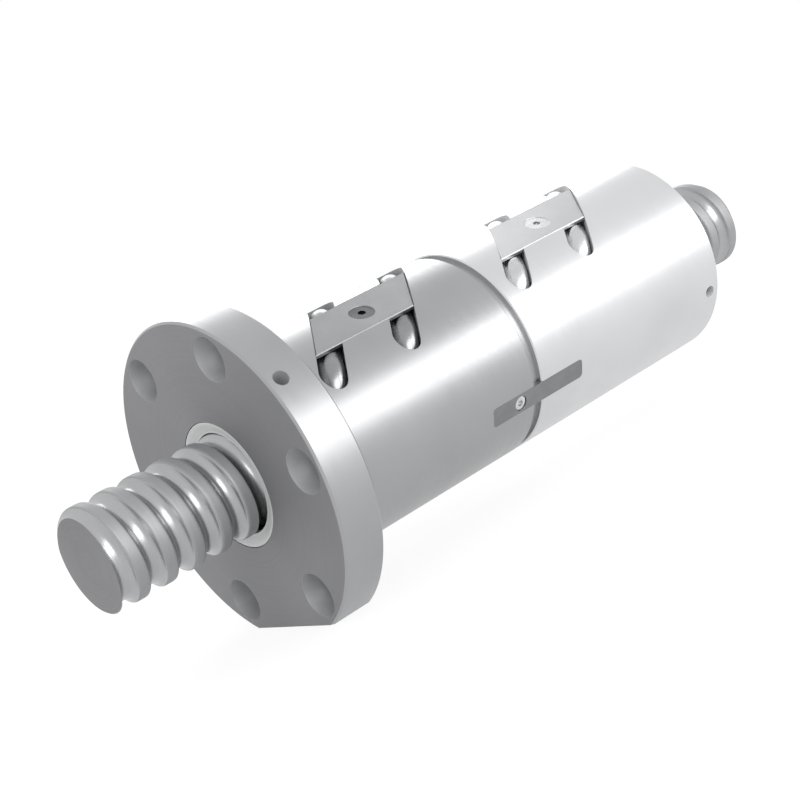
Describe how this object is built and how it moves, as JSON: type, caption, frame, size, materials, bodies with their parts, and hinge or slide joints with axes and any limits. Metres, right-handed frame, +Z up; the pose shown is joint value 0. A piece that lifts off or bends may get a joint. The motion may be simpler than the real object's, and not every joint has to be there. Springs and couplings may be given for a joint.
{
  "type": "double nut ball screw",
  "caption": "Preloaded double nut ball screw: flanged front nut, keyed rear nut, external ball return tubes and a right hand screw that turns and travels through them.",
  "frame": {"origin": "centre of the flange's mounting face, on the screw axis; the face looks towards the rear nut", "axes": "+X along the screw axis towards the rear nut, +Z up and away from the flange's flat, +Y completing a right-handed frame"},
  "size_m": [0.337, 0.128, 0.1217],
  "materials": {
    "nut_steel": "ground bearing steel, satin",
    "spacer_steel": "ground steel",
    "key_steel": "cold drawn key steel, dull",
    "fastener_steel": "blackened steel",
    "clamp_steel": "stamped steel sheet",
    "tube_steel": "drawn steel tube",
    "ball_steel": "lapped bearing balls",
    "wiper_polymer": "moulded polymer, pale grey",
    "screw_steel": "rolled screw steel, polished track"
  },
  "bodies": {
    "nut_assembly": {"front_nut": "nut_steel", "rear_nut": "nut_steel", "spacer_half_upper": "spacer_steel", "spacer_half_lower": "spacer_steel", "alignment_key": "key_steel", "key_screw": "fastener_steel", "front_tube_clamp": "clamp_steel", "rear_tube_clamp": "clamp_steel", "front_clamp_screw": "fastener_steel", "rear_clamp_screw": "fastener_steel", "front_return_tube_1": "tube_steel", "front_return_tube_2": "tube_steel", "rear_return_tube_1": "tube_steel", "rear_return_tube_2": "tube_steel", "front_ball_circuit_1": "ball_steel", "front_ball_circuit_2": "ball_steel", "rear_ball_circuit_1": "ball_steel", "rear_ball_circuit_2": "ball_steel", "rear_wiper_grub_screw_1": "fastener_steel", "rear_wiper_grub_screw_2": "fastener_steel"},
    "wiper_rings": {"front_wiper": "wiper_polymer", "rear_wiper": "wiper_polymer"},
    "screw": {"screw_shaft": "screw_steel"}
  },
  "joints": [
    {"name": "screw_turn", "type": "hinge", "parent": "nut_assembly", "child": "wiper_rings", "pos_m": [0, 0, 0], "axis": [1, 0, 0], "range_deg": [-1170, 1530]},
    {"name": "screw_travel", "type": "slide", "parent": "wiper_rings", "child": "screw", "axis": [1, 0, 0], "range_m": [-0.0391, 0.0511]}
  ],
  "couplings": [
    {"joint": "screw_travel", "follows": "screw_turn", "m_per_rad": 0.0019099}
  ]
}
